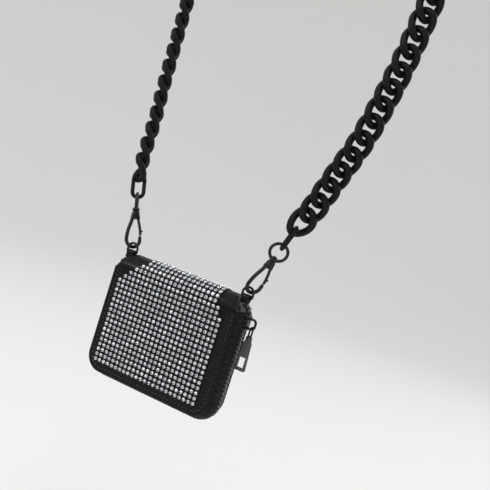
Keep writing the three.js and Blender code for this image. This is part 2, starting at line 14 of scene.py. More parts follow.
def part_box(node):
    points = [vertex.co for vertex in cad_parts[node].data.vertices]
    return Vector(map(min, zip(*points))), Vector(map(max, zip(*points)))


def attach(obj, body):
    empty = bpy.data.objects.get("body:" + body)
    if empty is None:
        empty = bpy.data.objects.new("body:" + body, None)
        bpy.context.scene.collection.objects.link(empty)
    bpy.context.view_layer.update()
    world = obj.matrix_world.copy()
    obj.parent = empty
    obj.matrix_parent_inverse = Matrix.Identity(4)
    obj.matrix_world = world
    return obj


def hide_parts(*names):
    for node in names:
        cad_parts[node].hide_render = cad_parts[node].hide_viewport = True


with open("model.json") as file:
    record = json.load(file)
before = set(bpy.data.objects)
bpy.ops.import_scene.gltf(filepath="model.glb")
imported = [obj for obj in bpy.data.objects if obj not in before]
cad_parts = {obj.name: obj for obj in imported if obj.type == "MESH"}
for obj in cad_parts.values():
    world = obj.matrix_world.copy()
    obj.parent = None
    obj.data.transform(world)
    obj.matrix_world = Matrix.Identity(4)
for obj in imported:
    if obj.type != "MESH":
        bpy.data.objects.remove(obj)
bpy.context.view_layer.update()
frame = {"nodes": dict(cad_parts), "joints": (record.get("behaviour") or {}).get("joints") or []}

bl_info = {
    "name": "Chain wallet",
    "version": (1, 0, 0),
    "blender": (4, 5, 0),
    "location": "3D View > Sidebar > Chain wallet",
    "description": "Builds a rhinestone zip wallet on its curb-chain strap",
    "category": "Add Mesh",
}

MM = 0.001

# ---- the wallet's own axes: millimetres, x from its middle, y from its mid-depth, z from its low

front_low, front_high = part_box("front_cover")
back_low, back_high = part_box("back_cover")
WALLET = Vector(((front_low.x + front_high.x) / 2, (front_low.y + back_high.y) / 2, front_low.z))
TO_FRAME = Matrix.Translation(WALLET) @ Matrix.Scale(MM, 4)
TO_WALLET = TO_FRAME.inverted()
GAP = 0.3
HALF_WIDTH = (front_high.x - front_low.x) / 2 / MM
HALF_DEPTH = (back_high.y - front_low.y) / 2 / MM
COVER = (front_high.y - front_low.y) / MM
COVER_TOP = (front_high.z - front_low.z) / MM
FOLD = COVER_TOP + GAP / 2
CORNER = 13.0
JOINTS = {joint["name"]: joint for joint in frame["joints"]}
SIDES = {"right": 1, "left": -1}


def wallet_box(node):
    """A CAD node's lowest and highest corners in the wallet's millimetres."""
    low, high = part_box(node)
    return TO_WALLET @ low, TO_WALLET @ high


def linear(code):
    """An sRGB hex colour as the linear red, green and blue that shaders take."""
    parts = [int(code[i:i + 2], 16) / 255 for i in (1, 3, 5)]
    return tuple(c / 12.92 if c <= 0.04045 else ((c + 0.055) / 1.055) ** 2.4 for c in parts)


# ---- sizes and colours that a user would change ------------------------------------------------


def length(name, millimetres, description):
    return FloatProperty(name=name, description=description, default=millimetres * MM, min=0.0,
                         precision=5, unit="LENGTH", subtype="DISTANCE")


def colour(name, code, description):
    return FloatVectorProperty(name=name, description=description, default=linear(code), min=0.0, max=1.0,
                               size=3, subtype="COLOR")


class LeatherSizes(bpy.types.PropertyGroup):
    edge_round: length("Edge rounding", 0.6, "Radius of the covers' turned edges")
    piping: length("Piping", 1.3, "Thickness of the rolled bead round each cover")
    seam_inset: length("Seam inset", 3.2, "From a cover's edge to its row of stitches")
    seam_width: length("Seam channel", 0.9, "Width of the pressed channel that the stitches lie in")
    stitch_length: length("Stitch", 2.5, "Length of one stitch that shows")
    stitch_pitch: length("Stitch pitch", 3.4, "From one stitch to the next")
    thread: length("Thread", 0.55, "Thickness of the sewing thread")


class StoneSizes(bpy.types.PropertyGroup):
    diameter: length("Stone", 2.9, "Across one rhinestone's girdle")
    height: length("Stone height", 1.15, "From the sheet's ground to the stone's table")
    pitch: length("Pitch", 3.9, "From one stone to the next, both ways")
    columns: IntProperty(name="Columns", description="Stones across the full rows", default=24, min=2)
    full_rows: IntProperty(name="Full rows", description="Rows below the corner cuts", default=17, min=2)
    left_cut: IntProperty(name="Left cut", description="Columns lost at the upper left", default=5, min=0)
    right_cut: IntProperty(name="Right cut", description="Columns lost at the upper right", default=2, min=0)


class ZipSizes(bpy.types.PropertyGroup):
    tooth_pitch: length("Tooth pitch", 3.2, "From one tooth to the next on one side of the zip")
    tooth_length: length("Tooth", 2.1, "Size of a tooth along the zip")
    tooth_reach: length("Tooth reach", 3.1, "From a tooth's root to its tip, across the zip")
    tape: length("Tape", 0.9, "Thickness of the zip's woven tape")


class StrapSizes(bpy.types.PropertyGroup):
    rod: length("Link rod", 5.2, "Thickness of a curb link's rod")
    half_length: length("Link half length", 9.6, "From a link's middle to its rod's centre at one end")
    half_width: length("Link half width", 6.8, "From a link's middle to its rod's centre at one side")
    twist_rise: length("Link twist", 3.0, "How far the rod rises and falls out of the link's plane")
    pitch: length("Link pitch", 12.9, "From one link's middle to the next")
    hook_wire: length("Hook wire", 2.8, "Thickness of the snap hooks' cast loops")
    ring_wire: length("Ring wire", 2.3, "Thickness of the swivel rings")
    end_link_wire: length("End link wire", 3.0, "Thickness of the links between the rings and the chain")


class Colours(bpy.types.PropertyGroup):
    leather: colour("Leather", "#070708", "Black coated leather")
    leather_light: colour("Leather crease", "#0F1115", "Where the coating is stretched over a crease")
    ground: colour("Stone ground", "#08080A", "Black resin sheet between the stones")
    stone: colour("Stones", "#D3D6DA", "Foil-backed glass")
    lining: colour("Lining", "#1B1B1F", "Black polyester lining")
    tape: colour("Tape", "#0B0B0C", "Zip tape")
    # the teeth are black; this grey lifts them so they show as glints, a painted highlight
    teeth: colour("Teeth", "#303238", "Moulded zip teeth")
    thread: colour("Thread", "#26272B", "Waxed polyester thread")
    lacquer: colour("Gloss black", "#060607", "Lacquered zinc hardware")
    satin: colour("Pull face", "#3E4043", "Satin face of the pull tab")
    chain: colour("Chain", "#0C0D0E", "Matt black coated links")
    board: colour("Board", "#6B5A45", "Stiffening board")
    floor: colour("Floor", "#E2E2E0", "Pale floor and surroundings")


class StageSettings(bpy.types.PropertyGroup):
    azimuth: FloatProperty(name="Azimuth", description="Camera's bearing round the wallet from its front",
                           default=math.radians(26.8), subtype="ANGLE")
    elevation: FloatProperty(name="Elevation", description="Camera's height angle above the horizon",
                             default=math.radians(3.8), subtype="ANGLE")
    roll: FloatProperty(name="Roll", description="How far the camera is turned about its own axis",
                        default=math.radians(17.7), subtype="ANGLE")
    distance: length("Distance", 631.0, "From the camera to the point it looks at")
    lens: FloatProperty(name="Lens", description="Focal length on a 36 mm sensor", default=62.4,
                        subtype="DISTANCE_CAMERA")
    drop: length("Floor drop", 120.0, "From the wallet's lower edge down to the floor")


# ---- building helpers --------------------------------------------------------------------------


def shape(operator=None, **settings):
    """A new bmesh, holding what one create operator makes."""
    bm = bmesh.new()
    if operator is not None:
        operator(bm, **settings)
    return bm


def block(low, high, rounding=0.0, segments=2):
    """A block between two corners, with its edges rounded."""
    bm = shape(bmesh.ops.create_cube, size=1)
    low, high = Vector(low), Vector(high)
    bmesh.ops.scale(bm, vec=high - low, verts=bm.verts)
    bmesh.ops.translate(bm, vec=(low + high) / 2, verts=bm.verts)
    if rounding:
        bmesh.ops.bevel(bm, geom=bm.edges[:], offset=rounding, offset_type="OFFSET", affect="EDGES",
                        segments=segments, profile=0.5, material=-1)
    return bm


def post(diameter, low, high, top_diameter=None, sides=32, rounding=0.0):
    """An upright round post on the z axis."""
    top = diameter if top_diameter is None else top_diameter
    bm = shape(bmesh.ops.create_cone, cap_ends=True, segments=sides, radius1=diameter / 2, radius2=top / 2,
               depth=high - low)
    bmesh.ops.translate(bm, vec=(0, 0, (low + high) / 2), verts=bm.verts)
    if rounding:
        soften(bm, rounding, angle=50)
    return bm


def soften(bm, width, segments=2, angle=35.0):
    """Rounds every edge that is sharper than an angle in degrees."""
    sharp = [e for e in bm.edges if e.is_manifold and e.calc_face_angle() > math.radians(angle)]
    bmesh.ops.bevel(bm, geom=sharp, offset=width, offset_type="OFFSET", affect="EDGES", segments=segments,
                    profile=0.5, material=-1, clamp_overlap=True)
    return bm


def copy_of(node):
    """A CAD node's shape in the wallet's millimetres, with its loose triangles joined."""
    bm = bmesh.new()
    bm.from_mesh(frame["nodes"][node].data)
    bmesh.ops.transform(bm, matrix=TO_WALLET, verts=bm.verts)
    bmesh.ops.remove_doubles(bm, verts=bm.verts, dist=0.005)
    bmesh.ops.dissolve_limit(bm, angle_limit=math.radians(3), verts=bm.verts, edges=bm.edges)
    return bm


def moved(bm, matrix):
    bmesh.ops.transform(bm, matrix=matrix, verts=bm.verts)
    return bm


def joined(*parts):
    """Several bmeshes as one. The later ones are used up."""
    whole = parts[0]
    for part in parts[1:]:
        mesh = bpy.data.meshes.new("part")
        part.to_mesh(mesh)
        part.free()
        whole.from_mesh(mesh)
        bpy.data.meshes.remove(mesh)
    return whole


def wire(points, thickness, closed=False, roundness=6, widths=None):
    """Round wire along points. Widths thin or thicken it from point to point."""
    curve = bpy.data.curves.new("wire", "CURVE")
    curve.dimensions = "3D"
    curve.bevel_depth = thickness / 2
    curve.bevel_resolution = roundness
    curve.use_fill_caps = not closed
    spline = curve.splines.new("POLY")
    spline.points.add(len(points) - 1)
    for i, (knot, place) in enumerate(zip(spline.points, points)):
        knot.co = (*place, 1)
        knot.radius = widths[i] if widths else 1
    spline.use_cyclic_u = closed
    holder = bpy.data.objects.new("wire", curve)
    mesh = bpy.data.meshes.new_from_object(holder)
    bm = bmesh.new()
    bm.from_mesh(mesh)
    bmesh.ops.remove_doubles(bm, verts=bm.verts, dist=0.0005)
    bmesh.ops.recalc_face_normals(bm, faces=bm.faces)
    bpy.data.objects.remove(holder)
    bpy.data.curves.remove(curve)
    bpy.data.meshes.remove(mesh)
    return bm


def sweep(section, frames):
    """Extrudes a closed section, given as (x, y) in each frame's plane, from one frame to the next."""
    bm = bmesh.new()
    ring = [bm.verts.new(frames[0] @ Vector((x, y, 0))) for x, y in section]
    bm.faces.new(ring)
    edges = bm.edges[:]
    for before, after in zip(frames, frames[1:]):
        grown = bmesh.ops.extrude_edge_only(bm, edges=edges)["geom"]
        edges = [e for e in grown if isinstance(e, bmesh.types.BMEdge) and e.is_boundary]
        verts = [v for v in grown if isinstance(v, bmesh.types.BMVert)]
        bmesh.ops.transform(bm, matrix=after @ before.inverted(), verts=verts)
    bmesh.ops.holes_fill(bm, edges=edges, sides=0)
    bmesh.ops.recalc_face_normals(bm, faces=bm.faces)
    return bm


def repeated(pattern, places, tones=None):
    """A copy of the pattern at each place. Tones give each copy's faces a number to vary their look by."""
    mesh = bpy.data.meshes.new("pattern")
    pattern.to_mesh(mesh)
    pattern.free()
    whole = bmesh.new()
    # the per-face values stored here are the stones' painted facet reflections
    layer = whole.faces.layers.float.new("painted_flash")
    for i, place in enumerate(places):
        first_vert, first_face = len(whole.verts), len(whole.faces)
        whole.from_mesh(mesh)
        whole.verts.ensure_lookup_table()
        bmesh.ops.transform(whole, matrix=place, verts=whole.verts[first_vert:])
        if tones:
            whole.faces.ensure_lookup_table()
            for face, painted_flash in zip(whole.faces[first_face:], tones[i]):
                face[layer] = painted_flash
    bpy.data.meshes.remove(mesh)
    return whole


def arc(x, z, radius, start, end, count=12):
    """Points of an arc in the x-z plane, from one angle to another in degrees."""
    angles = [math.radians(start + (end - start) * i / count) for i in range(count + 1)]
    return [Vector((x + radius * math.cos(a), 0, z + radius * math.sin(a))) for a in angles]


def rounded_loop(half_x, low, high, bend):
    """A closed loop in the x-z plane with straight sides and round corners."""
    return [*arc(half_x - bend, high - bend, bend, 0, 90), *arc(-half_x + bend, high - bend, bend, 90, 180),
            *arc(-half_x + bend, low + bend, bend, 180, 270), *arc(half_x - bend, low + bend, bend, 270, 360)]


def bezier(start, pull_start, pull_end, end, count=14):
    """Points of one Bezier stretch in the x-z plane."""
    knots = [Vector((x, 0, z)) for x, z in (start, pull_start, pull_end, end)]
    return interpolate_bezier(*knots, count)


def edge_line(outset, top):
    """Length of the line round the right, lower and left edges, and what finds a place on it."""
    half, radius = HALF_WIDTH + outset, CORNER + outset
    side = top + outset - radius
    quarter = radius * math.pi / 2
    lower = 2 * (half - radius)
    whole = 2 * side + 2 * quarter + lower

    def at(s):
        if s > whole / 2:
            place, outward = at(whole - s)
            return Vector((-place.x, 0, place.z)), Vector((-outward.x, 0, outward.z))
        if s <= side:
            return Vector((half, 0, top - s)), Vector((1, 0, 0))
        if s <= side + quarter:
            turn = (s - side) / radius
            outward = Vector((math.cos(turn), 0, -math.sin(turn)))
            return Vector((half - radius, 0, radius - outset)) + outward * radius, outward
        return Vector((half - radius - (s - side - quarter), 0, -outset)), Vector((0, 0, -1))

    return whole, at


def edge_frame(place, outward):
    """A frame at a place on an edge line: its x points outwards and its y to the back."""
    back = Vector((0, 1, 0))
    return Matrix.Translation(place) @ Matrix((outward, back, outward.cross(back))).transposed().to_4x4()


def edge_frames(outset, top, step=1.5):
    whole, at = edge_line(outset, top)
    count = round(whole / step)
    return [edge_frame(*at(whole * i / count)) for i in range(count + 1)]


def add_piece(name, bm, body, finish, stands_for=(), smooth=40.0, face_finish=None):
    """Makes a bmesh in the wallet's millimetres a piece of the object, in place in its own mesh."""
    bmesh.ops.transform(bm, matrix=TO_FRAME, verts=bm.verts)
    mesh = bpy.data.meshes.new(name)
    bm.to_mesh(mesh)
    bm.free()
    mesh.materials.append(finish)
    if face_finish:
        mesh.materials.append(face_finish)
    mesh.shade_smooth()
    mesh.set_sharp_from_angle(angle=math.radians(smooth))
    piece = bpy.data.objects.new(name, mesh)
    bpy.context.scene.collection.objects.link(piece)
    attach(piece, body)
    if stands_for:
        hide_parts(*stands_for)
    return piece


def refinish(finish, *nodes):
    """Gives CAD nodes that keep their shape their real finish."""
    for name in nodes:
        data = frame["nodes"][name].data
        data.materials.clear()
        data.materials.append(finish)


# ---- finishes ----------------------------------------------------------------------------------


def per(millimetres):
    """The texture scale that repeats a pattern once in so many millimetres."""
    return 1 / (millimetres * MM)


def add_node(tree, kind, inputs=None, **settings):
    """Adds one node, sets what it is told, and links or fills its inputs."""
    made = tree.nodes.new(kind)
    for name, value in settings.items():
        setattr(made, name, value)
    for socket, value in (inputs or {}).items():
        if isinstance(value, bpy.types.NodeSocket):
            tree.links.new(value, made.inputs[socket])
        else:
            made.inputs[socket].default_value = value
    return made


def new_finish(name, tint, roughness, metallic=0.0, **sockets):
    """A material of one name with its shader's own sockets set."""
    made = bpy.data.materials.get(name)
    if made:
        return made, None, None
    made = bpy.data.materials.new(name)
    made.use_nodes = True
    shader = made.node_tree.nodes["Principled BSDF"]
    shader.inputs["Base Color"].default_value = (*tint, 1)
    shader.inputs["Roughness"].default_value = roughness
    shader.inputs["Metallic"].default_value = metallic
    for socket, value in sockets.items():
        shader.inputs[socket.replace("_", " ").title().replace("Ior", "IOR")].default_value = value
    return made, made.node_tree, shader


def tones():
    return bpy.context.scene.wallet_colours


def place_of(tree):
    return add_node(tree, "ShaderNodeTexCoord").outputs["Object"]


def noise(tree, place, millimetres, detail=3.0):
    return add_node(tree, "ShaderNodeTexNoise", {"Vector": place, "Scale": per(millimetres), "Detail": detail}
                    ).outputs["Fac"]


def spread(tree, value, low, high, start=0.3, end=0.7):
    """A pattern's value from start to end, as a number from low to high."""
    return add_node(tree, "ShaderNodeMapRange", {"Value": value, "From Min": start, "From Max": end,
                                                 "To Min": low, "To Max": high}).outputs["Result"]


def blend_tints(tree, share, first, second):
    """A colour between two, by a share from a pattern."""
    return add_node(tree, "ShaderNodeMix", {0: share, 6: (*first, 1), 7: (*second, 1)}, data_type="RGBA"
                    ).outputs[2]


def raised(tree, shader, height, millimetres, strength=1.0, under=None):
    """Raises a surface by a pattern, by so many millimetres at the most."""
    inputs = {"Height": height, "Distance": millimetres * MM, "Strength": strength}
    if under is not None:
        inputs["Normal"] = under
    bump = add_node(tree, "ShaderNodeBump", inputs)
    tree.links.new(bump.outputs["Normal"], shader.inputs["Normal"])
    return bump.outputs["Normal"]


def coated_leather():
    """Split leather with a pressed film: fine crinkles and a wet sheen over a soft black."""
    made, tree, shader = new_finish("coated_split_leather", tones().leather, 0.42, coat_weight=0.14,
                                    coat_roughness=0.12, specular_ior_level=0.1)
    if tree:
        place = place_of(tree)
        crease = add_node(tree, "ShaderNodeTexVoronoi", {"Vector": place, "Scale": per(1.6)},
                          feature="DISTANCE_TO_EDGE").outputs["Distance"]
        wide = noise(tree, place, 7.0)
        fine = noise(tree, place, 0.7)
        shade = spread(tree, wide, 0.0, 0.45)
        tree.links.new(blend_tints(tree, shade, tones().leather, tones().leather_light),
                       shader.inputs["Base Color"])
        tree.links.new(spread(tree, fine, 0.28, 0.52), shader.inputs["Roughness"])
        under = raised(tree, shader, spread(tree, crease, 0.0, 1.0, 0.0, 0.12), 0.16, 1.0)
        raised(tree, shader, wide, 0.9, 0.6, under)
    return made


def stone_ground():
    """Pressed black resin: glossy between the stones, with a faint texture of its cloth backing."""
    made, tree, shader = new_finish("pressed_resin_sheet", tones().ground, 0.5, specular_ior_level=0.15)
    if tree:
        place = place_of(tree)
        raised(tree, shader, noise(tree, place, 0.5), 0.08, 0.6)
        tree.links.new(spread(tree, noise(tree, place, 4.0), 0.4, 0.6), shader.inputs["Roughness"])
    return made


def foiled_glass():
    """Machine-cut glass with a silver foil back: each facet carries its own painted white highlight or
    painted dark reflection.
    """
    made, tree, shader = new_finish("foil_backed_glass", tones().stone, 0.12, 0.5, coat_weight=1.0,
                                    coat_roughness=0.03)
    if tree:
        facet = add_node(tree, "ShaderNodeAttribute", attribute_name="painted_flash").outputs["Fac"]
        cloudy = noise(tree, place_of(tree), 0.9)
        # painted reflection: #34373C is the painted dark of facets that reflect darkness, the stone colour
        # the painted bright highlight
        tint = blend_tints(tree, facet, linear("#34373C"), tones().stone)
        tree.links.new(tint, shader.inputs["Base Color"])
        tree.links.new(spread(tree, cloudy, 0.06, 0.2), shader.inputs["Roughness"])
    return made


def woven(name, tint, thread, roughness=0.85, sheen=0.25):
    """Plain-woven polyester. The real yarn is finer, and is drawn this coarse so that it shows."""
    made, tree, shader = new_finish(name, tint, roughness, sheen_weight=sheen, sheen_roughness=0.5,
                                    specular_ior_level=0.2)
    if tree:
        place = place_of(tree)
        over, under = [add_node(tree, "ShaderNodeTexWave", {"Vector": place, "Scale": per(thread) / 20,
                                                            "Distortion": 0.6, "Detail": 1.0},
                                bands_direction=way).outputs["Fac"] for way in ("X", "Z")]
        weave = add_node(tree, "ShaderNodeMath", {0: over, 1: under}, operation="MULTIPLY").outputs[0]
        light = tuple(min(1, c * 2.4 + 0.004) for c in tint)
        tree.links.new(blend_tints(tree, weave, tint, light), shader.inputs["Base Color"])
        raised(tree, shader, weave, 0.12, 0.8)
    return made


def lining_cloth():
    return woven("polyester_lining", tones().lining, 0.6)


def zip_cloth():
    return woven("woven_zip_tape", tones().tape, 0.8, 0.8, 0.04)


def sewing_thread():
    """Bonded polyester thread: two plies laid round each other, with a dull wax shine."""
    made, tree, shader = new_finish("bonded_thread", tones().thread, 0.55, sheen_weight=0.3)
    if tree:
        ply = add_node(tree, "ShaderNodeTexWave", {"Vector": place_of(tree), "Scale": per(0.5) / 20},
                       bands_direction="DIAGONAL").outputs["Fac"]
        raised(tree, shader, ply, 0.06)
    return made


def moulded_teeth():
    """Injection-moulded acetal: satin, with a slight orange peel that catches light on each tooth."""
    # the base colour is the teeth's own black lifted to grey: a painted highlight for their glints
    made, tree, shader = new_finish("moulded_acetal", tones().teeth, 0.22, specular_ior_level=0.6)
    if tree:
        place = place_of(tree)
        tree.links.new(spread(tree, noise(tree, place, 1.2), 0.2, 0.42), shader.inputs["Roughness"])
        raised(tree, shader, noise(tree, place, 0.4), 0.03, 0.6)
    return made


def black_lacquer():
    """Zinc casting under black lacquer: deep gloss, softened by handling marks."""
    made, tree, shader = new_finish("lacquered_zinc", tones().lacquer, 0.2, 0.0, coat_weight=0.12,
                                    coat_roughness=0.06, specular_ior_level=0.25)
    if tree:
        place = place_of(tree)
        tree.links.new(spread(tree, noise(tree, place, 2.5, 6.0), 0.14, 0.34), shader.inputs["Roughness"])
        raised(tree, shader, noise(tree, place, 1.4), 0.03, 0.5)
    return made


def satin_face():
    """Brushed and dipped face of the pull: grey where the lacquer is rubbed thin."""
    made, tree, shader = new_finish("rubbed_lacquer", tones().satin, 0.4, 0.35)
    if tree:
        place = place_of(tree)
        brushed = add_node(tree, "ShaderNodeMapping", {"Vector": place, "Scale": (1, 1, 0.06)}).outputs[0]
        rub = noise(tree, brushed, 0.35)
        tree.links.new(blend_tints(tree, rub, linear("#2C2D30"), linear("#55575B")),
                       shader.inputs["Base Color"])
        raised(tree, shader, rub, 0.02, 0.5)
    return made


def matt_coat():
    """Moulded links with a soft matt coat: broad dull highlights and a fine speckle."""
    made, tree, shader = new_finish("soft_matt_coat", tones().chain, 0.5, 0.0, specular_ior_level=0.13)
    if tree:
        place = place_of(tree)
        tree.links.new(blend_tints(tree, spread(tree, noise(tree, place, 5.0), 0.0, 1.0), tones().chain,
                                   linear("#131416")), shader.inputs["Base Color"])
        tree.links.new(spread(tree, noise(tree, place, 3.0), 0.4, 0.58), shader.inputs["Roughness"])
        raised(tree, shader, noise(tree, place, 0.45), 0.05, 0.6)
    return made


def grey_board():
    """Pressed paper fibre: dull brown-grey with flecks."""
    made, tree, shader = new_finish("pressed_paper_board", tones().board, 0.9)
    if tree:
        place = place_of(tree)
        tree.links.new(blend_tints(tree, noise(tree, place, 1.5, 6.0), linear("#4E4233"), tones().board),
                       shader.inputs["Base Color"])
        raised(tree, shader, noise(tree, place, 0.6), 0.08)
    return made


def matt_paint():
    """Smooth painted studio floor and cove with the faintest mottle."""
    made, tree, shader = new_finish("matt_floor_paint", tones().floor, 0.85)
    if tree:
        place = place_of(tree)
        tree.links.new(spread(tree, noise(tree, place, 90.0), 0.78, 0.9), shader.inputs["Roughness"])
    return made


# ---- strap chain and camera --------------------------------------------------------------------

ROUTE = [
    (80, 0, 165), (88.5, 0, 190), (97, 1, 216), (103, 2, 244), (107.5, 4, 274), (110.5, 6, 306),
    (112, 8, 340), (110, 11, 376), (102, 14, 412), (86, 17, 446), (58, 20, 476), (18, 21, 488.5),
    (-24, 22, 477), (-54, 23, 448), (-73, 24, 413), (-83, 25, 376), (-87, 25, 338), (-88, 24, 300),
    (-86, 22, 264), (-82, 18, 228), (-77.5, 14, 196),
]
NECK_HEIGHT = 27.5  # from a hook's lowest bend to the top of its neck
STRAP_START = 52.5  # from a hook's lowest bend to the rod of the chain's first link
END_LINK_MIDDLE = 47.7
RING_MIDDLE = 35.3


def hook_axes(side):
    """A hook's lowest bend in the wallet's millimetres, and the way its axis points."""
    swivel = JOINTS[f"{side}_hook_swivel"]
    axis = Vector(swivel["axis"]).normalized()
    return TO_WALLET @ Vector(swivel["pos_m"]) - axis * NECK_HEIGHT, axis


def hook_frame(side, turn):
    """A frame at a hook's lowest bend: z up its axis, turned by so many degrees."""
    place, axis = hook_axes(side)
    lean = Vector((0, 0, 1)).rotation_difference(axis).to_matrix().to_4x4()
    return Matrix.Translation(place) @ lean @ Matrix.Rotation(math.radians(turn), 4, "Z")


def strap_line(step=0.5):
    """The strap's centreline as close points, from the right end link over the top to the left one."""
    (right, right_axis), (left, left_axis) = hook_axes("right"), hook_axes("left")
    knots = [right + right_axis * STRAP_START, *map(Vector, ROUTE), left + left_axis * STRAP_START]
    pulls = [(b - a) / 2 for a, b in zip([knots[0], *knots], [*knots[1:], knots[-1]])]
    pulls[0] = right_axis * (knots[1] - knots[0]).length
    pulls[-1] = -left_axis * (knots[-1] - knots[-2]).length
    fine = []
    for a, b, pa, pb in zip(knots, knots[1:], pulls, pulls[1:]):
        fine += interpolate_bezier(a, a + pa / 3, b - pb / 3, b, 40)[:-1]
    fine.append(knots[-1])
    line, left_over = [fine[0]], 0.0
    for a, b in zip(fine, fine[1:]):
        span = (b - a).length
        at = step - left_over
        while at <= span:
            line.append(a + (b - a) * (at / span))
            at += step
        left_over = span - (at - step)
    return line


class WALLET_OT_strap_chain(bpy.types.Operator):
    """Lays the matt black curb links along the strap's route"""
    bl_idname = "wallet.strap_chain"
    bl_label = "Strap chain"

    def execute(self, context):
        sizes = context.scene.wallet_strap
        step = 0.5
        line = strap_line(step)
        reach, width, rise = (v / MM for v in (sizes.half_length, sizes.half_width, sizes.twist_rise))
        run = step * (len(line) - 1)
        count = round((run - 2 * reach) / (sizes.pitch / MM))
        pitch = (run - 2 * reach) / count
        face = Vector((math.sin(math.radians(30)), -math.cos(math.radians(30)), 0))
        faces = []
        for a, b in zip(line, [*line[1:], line[-1] * 2 - line[-2]]):
            along = (b - a).normalized()
            face = (face - along * face.dot(along)).normalized()
            faces.append((along, face))
        along, face = faces[-1]
        wanted = Vector((-math.sin(math.radians(60)), -math.cos(math.radians(60)), 0))
        turn = math.atan2(along.dot(face.cross(wanted)), face.dot(wanted))
        turn = (turn + math.pi / 2) % math.pi - math.pi / 2
        places = []
        for i in range(count + 1):
            at = min(round((reach + pitch * i) / step), len(line) - 1)
            along, face = faces[at]
            face = Matrix.Rotation(turn * at / len(line), 3, along) @ face
            places.append(Matrix.Translation(line[at])
                          @ Matrix((along, face.cross(along), face)).transposed().to_4x4())
        angles = [2 * math.pi * i / 36 for i in range(36)]
        ring = [Vector((reach * math.cos(a), width * math.sin(a), -rise * math.sin(2 * a))) for a in angles]
        link = wire(ring, sizes.rod / MM, closed=True, roundness=4)
        chain = add_piece("curb_chain", repeated(link, places), "wallet_back", matt_coat(),
                          ["strap_chain"])
        path = [TO_FRAME @ p for p in line[::6]]
        path.append(TO_FRAME @ line[-1])
        return {"FINISHED"}


class WALLET_OT_stage(bpy.types.Operator):
    """Puts up the cove, the soft lights and the camera"""
    bl_idname = "wallet.stage"
    bl_label = "Stage"

    def execute(self, context):
        scene, stage = context.scene, context.scene.wallet_stage
        aim = WALLET + Vector((25.8, 24.4, 124.1)) * MM
        back = Vector((math.sin(stage.azimuth) * math.cos(stage.elevation),
                       -math.cos(stage.azimuth) * math.cos(stage.elevation), math.sin(stage.elevation)))
        data = bpy.data.cameras.new("camera")
        data.lens, data.sensor_width, data.clip_start = stage.lens, 36.0, 0.01
        camera = bpy.data.objects.new("camera", data)
        look = (-back).to_track_quat("-Z", "Y").to_matrix().to_4x4()
        camera.matrix_world = (Matrix.Translation(aim + back * stage.distance) @ look
                               @ Matrix.Rotation(stage.roll, 4, "Z"))
        scene.collection.objects.link(camera)
        scene.camera = camera

        flat_radius, cove_radius, cove_steps = 1.6, 1.4, 16
        ground = shape(bmesh.ops.create_circle, cap_ends=True, segments=96, radius=flat_radius)
        rim = [e for e in ground.edges if e.is_boundary]
        for turn in range(1, cove_steps + 1):
            rise = math.pi / 2 * turn / cove_steps
            grown = bmesh.ops.extrude_edge_only(ground, edges=rim)["geom"]
            rim = [g for g in grown if isinstance(g, bmesh.types.BMEdge) and g.is_boundary]
            for vert in [g for g in grown if isinstance(g, bmesh.types.BMVert)]:
                outward = Vector((vert.co.x, vert.co.y, 0)).normalized()
                vert.co = outward * (flat_radius + cove_radius * math.sin(rise))
                vert.co.z = cove_radius * (1 - math.cos(rise))
        for face in ground.faces:
            face.smooth = True
        bmesh.ops.translate(ground, vec=(WALLET.x, WALLET.y, WALLET.z - stage.drop), verts=ground.verts)
        mesh = bpy.data.meshes.new("floor")
        ground.to_mesh(mesh)
        ground.free()
        mesh.materials.append(matt_paint())
        floor = bpy.data.objects.new("floor", mesh)
        scene.collection.objects.link(floor)

        for name, offset, size, power in (
                ("key", (-0.9, -1.1, 0.9), 0.7, 9), ("fill", (1.3, -0.9, 0.1), 0.9, 2.0),
                ("top", (0.1, -0.1, 1.3), 0.8, 5), ("rim", (0.7, 1.2, 0.7), 0.7, 5),
                ("low", (0.2, -1.3, -0.05), 0.4, 0.8)):
            lamp = bpy.data.lights.new(name, "AREA")
            lamp.energy, lamp.size = power, size
            light = bpy.data.objects.new(name, lamp)
            spot = aim + Vector(offset)
            light.matrix_world = (Matrix.Translation(spot)
                                  @ (aim - spot).to_track_quat("-Z", "Y").to_matrix().to_4x4())
            scene.collection.objects.link(light)
        world = bpy.data.worlds.new("studio")
        world.use_nodes = True
        sky = world.node_tree.nodes["Background"]
        sky.inputs["Color"].default_value = (*linear("#E9E9EA"), 1)
        sky.inputs["Strength"].default_value = 0.95
        scene.world = world
        scene.view_settings.view_transform = "Standard"
        return {"FINISHED"}


# ---- covers, piping and stitches ---------------------------------------------------------------


def stitch_shape(sizes):
    """One stitch lying along z, its ends dipping into the leather."""
    stitch = shape(bmesh.ops.create_uvsphere, u_segments=8, v_segments=5, radius=0.5)
    thread = sizes.thread / MM
    bmesh.ops.scale(stitch, vec=(thread, thread, sizes.stitch_length / MM), verts=stitch.verts)
    return stitch


def stitches_along(frames_at, whole, sizes, height):
    """Places for stitches along a line, each lifted by a height along y."""
    pitch = sizes.stitch_pitch / MM
    count = int(whole / pitch)
    places = []
    for i in range(count):
        place, outward = frames_at((i + 0.5) * whole / count)
        places.append(edge_frame(place + Vector((0, height, 0)), outward) @ Matrix.Rotation(0.10, 4, "Y"))
    return places


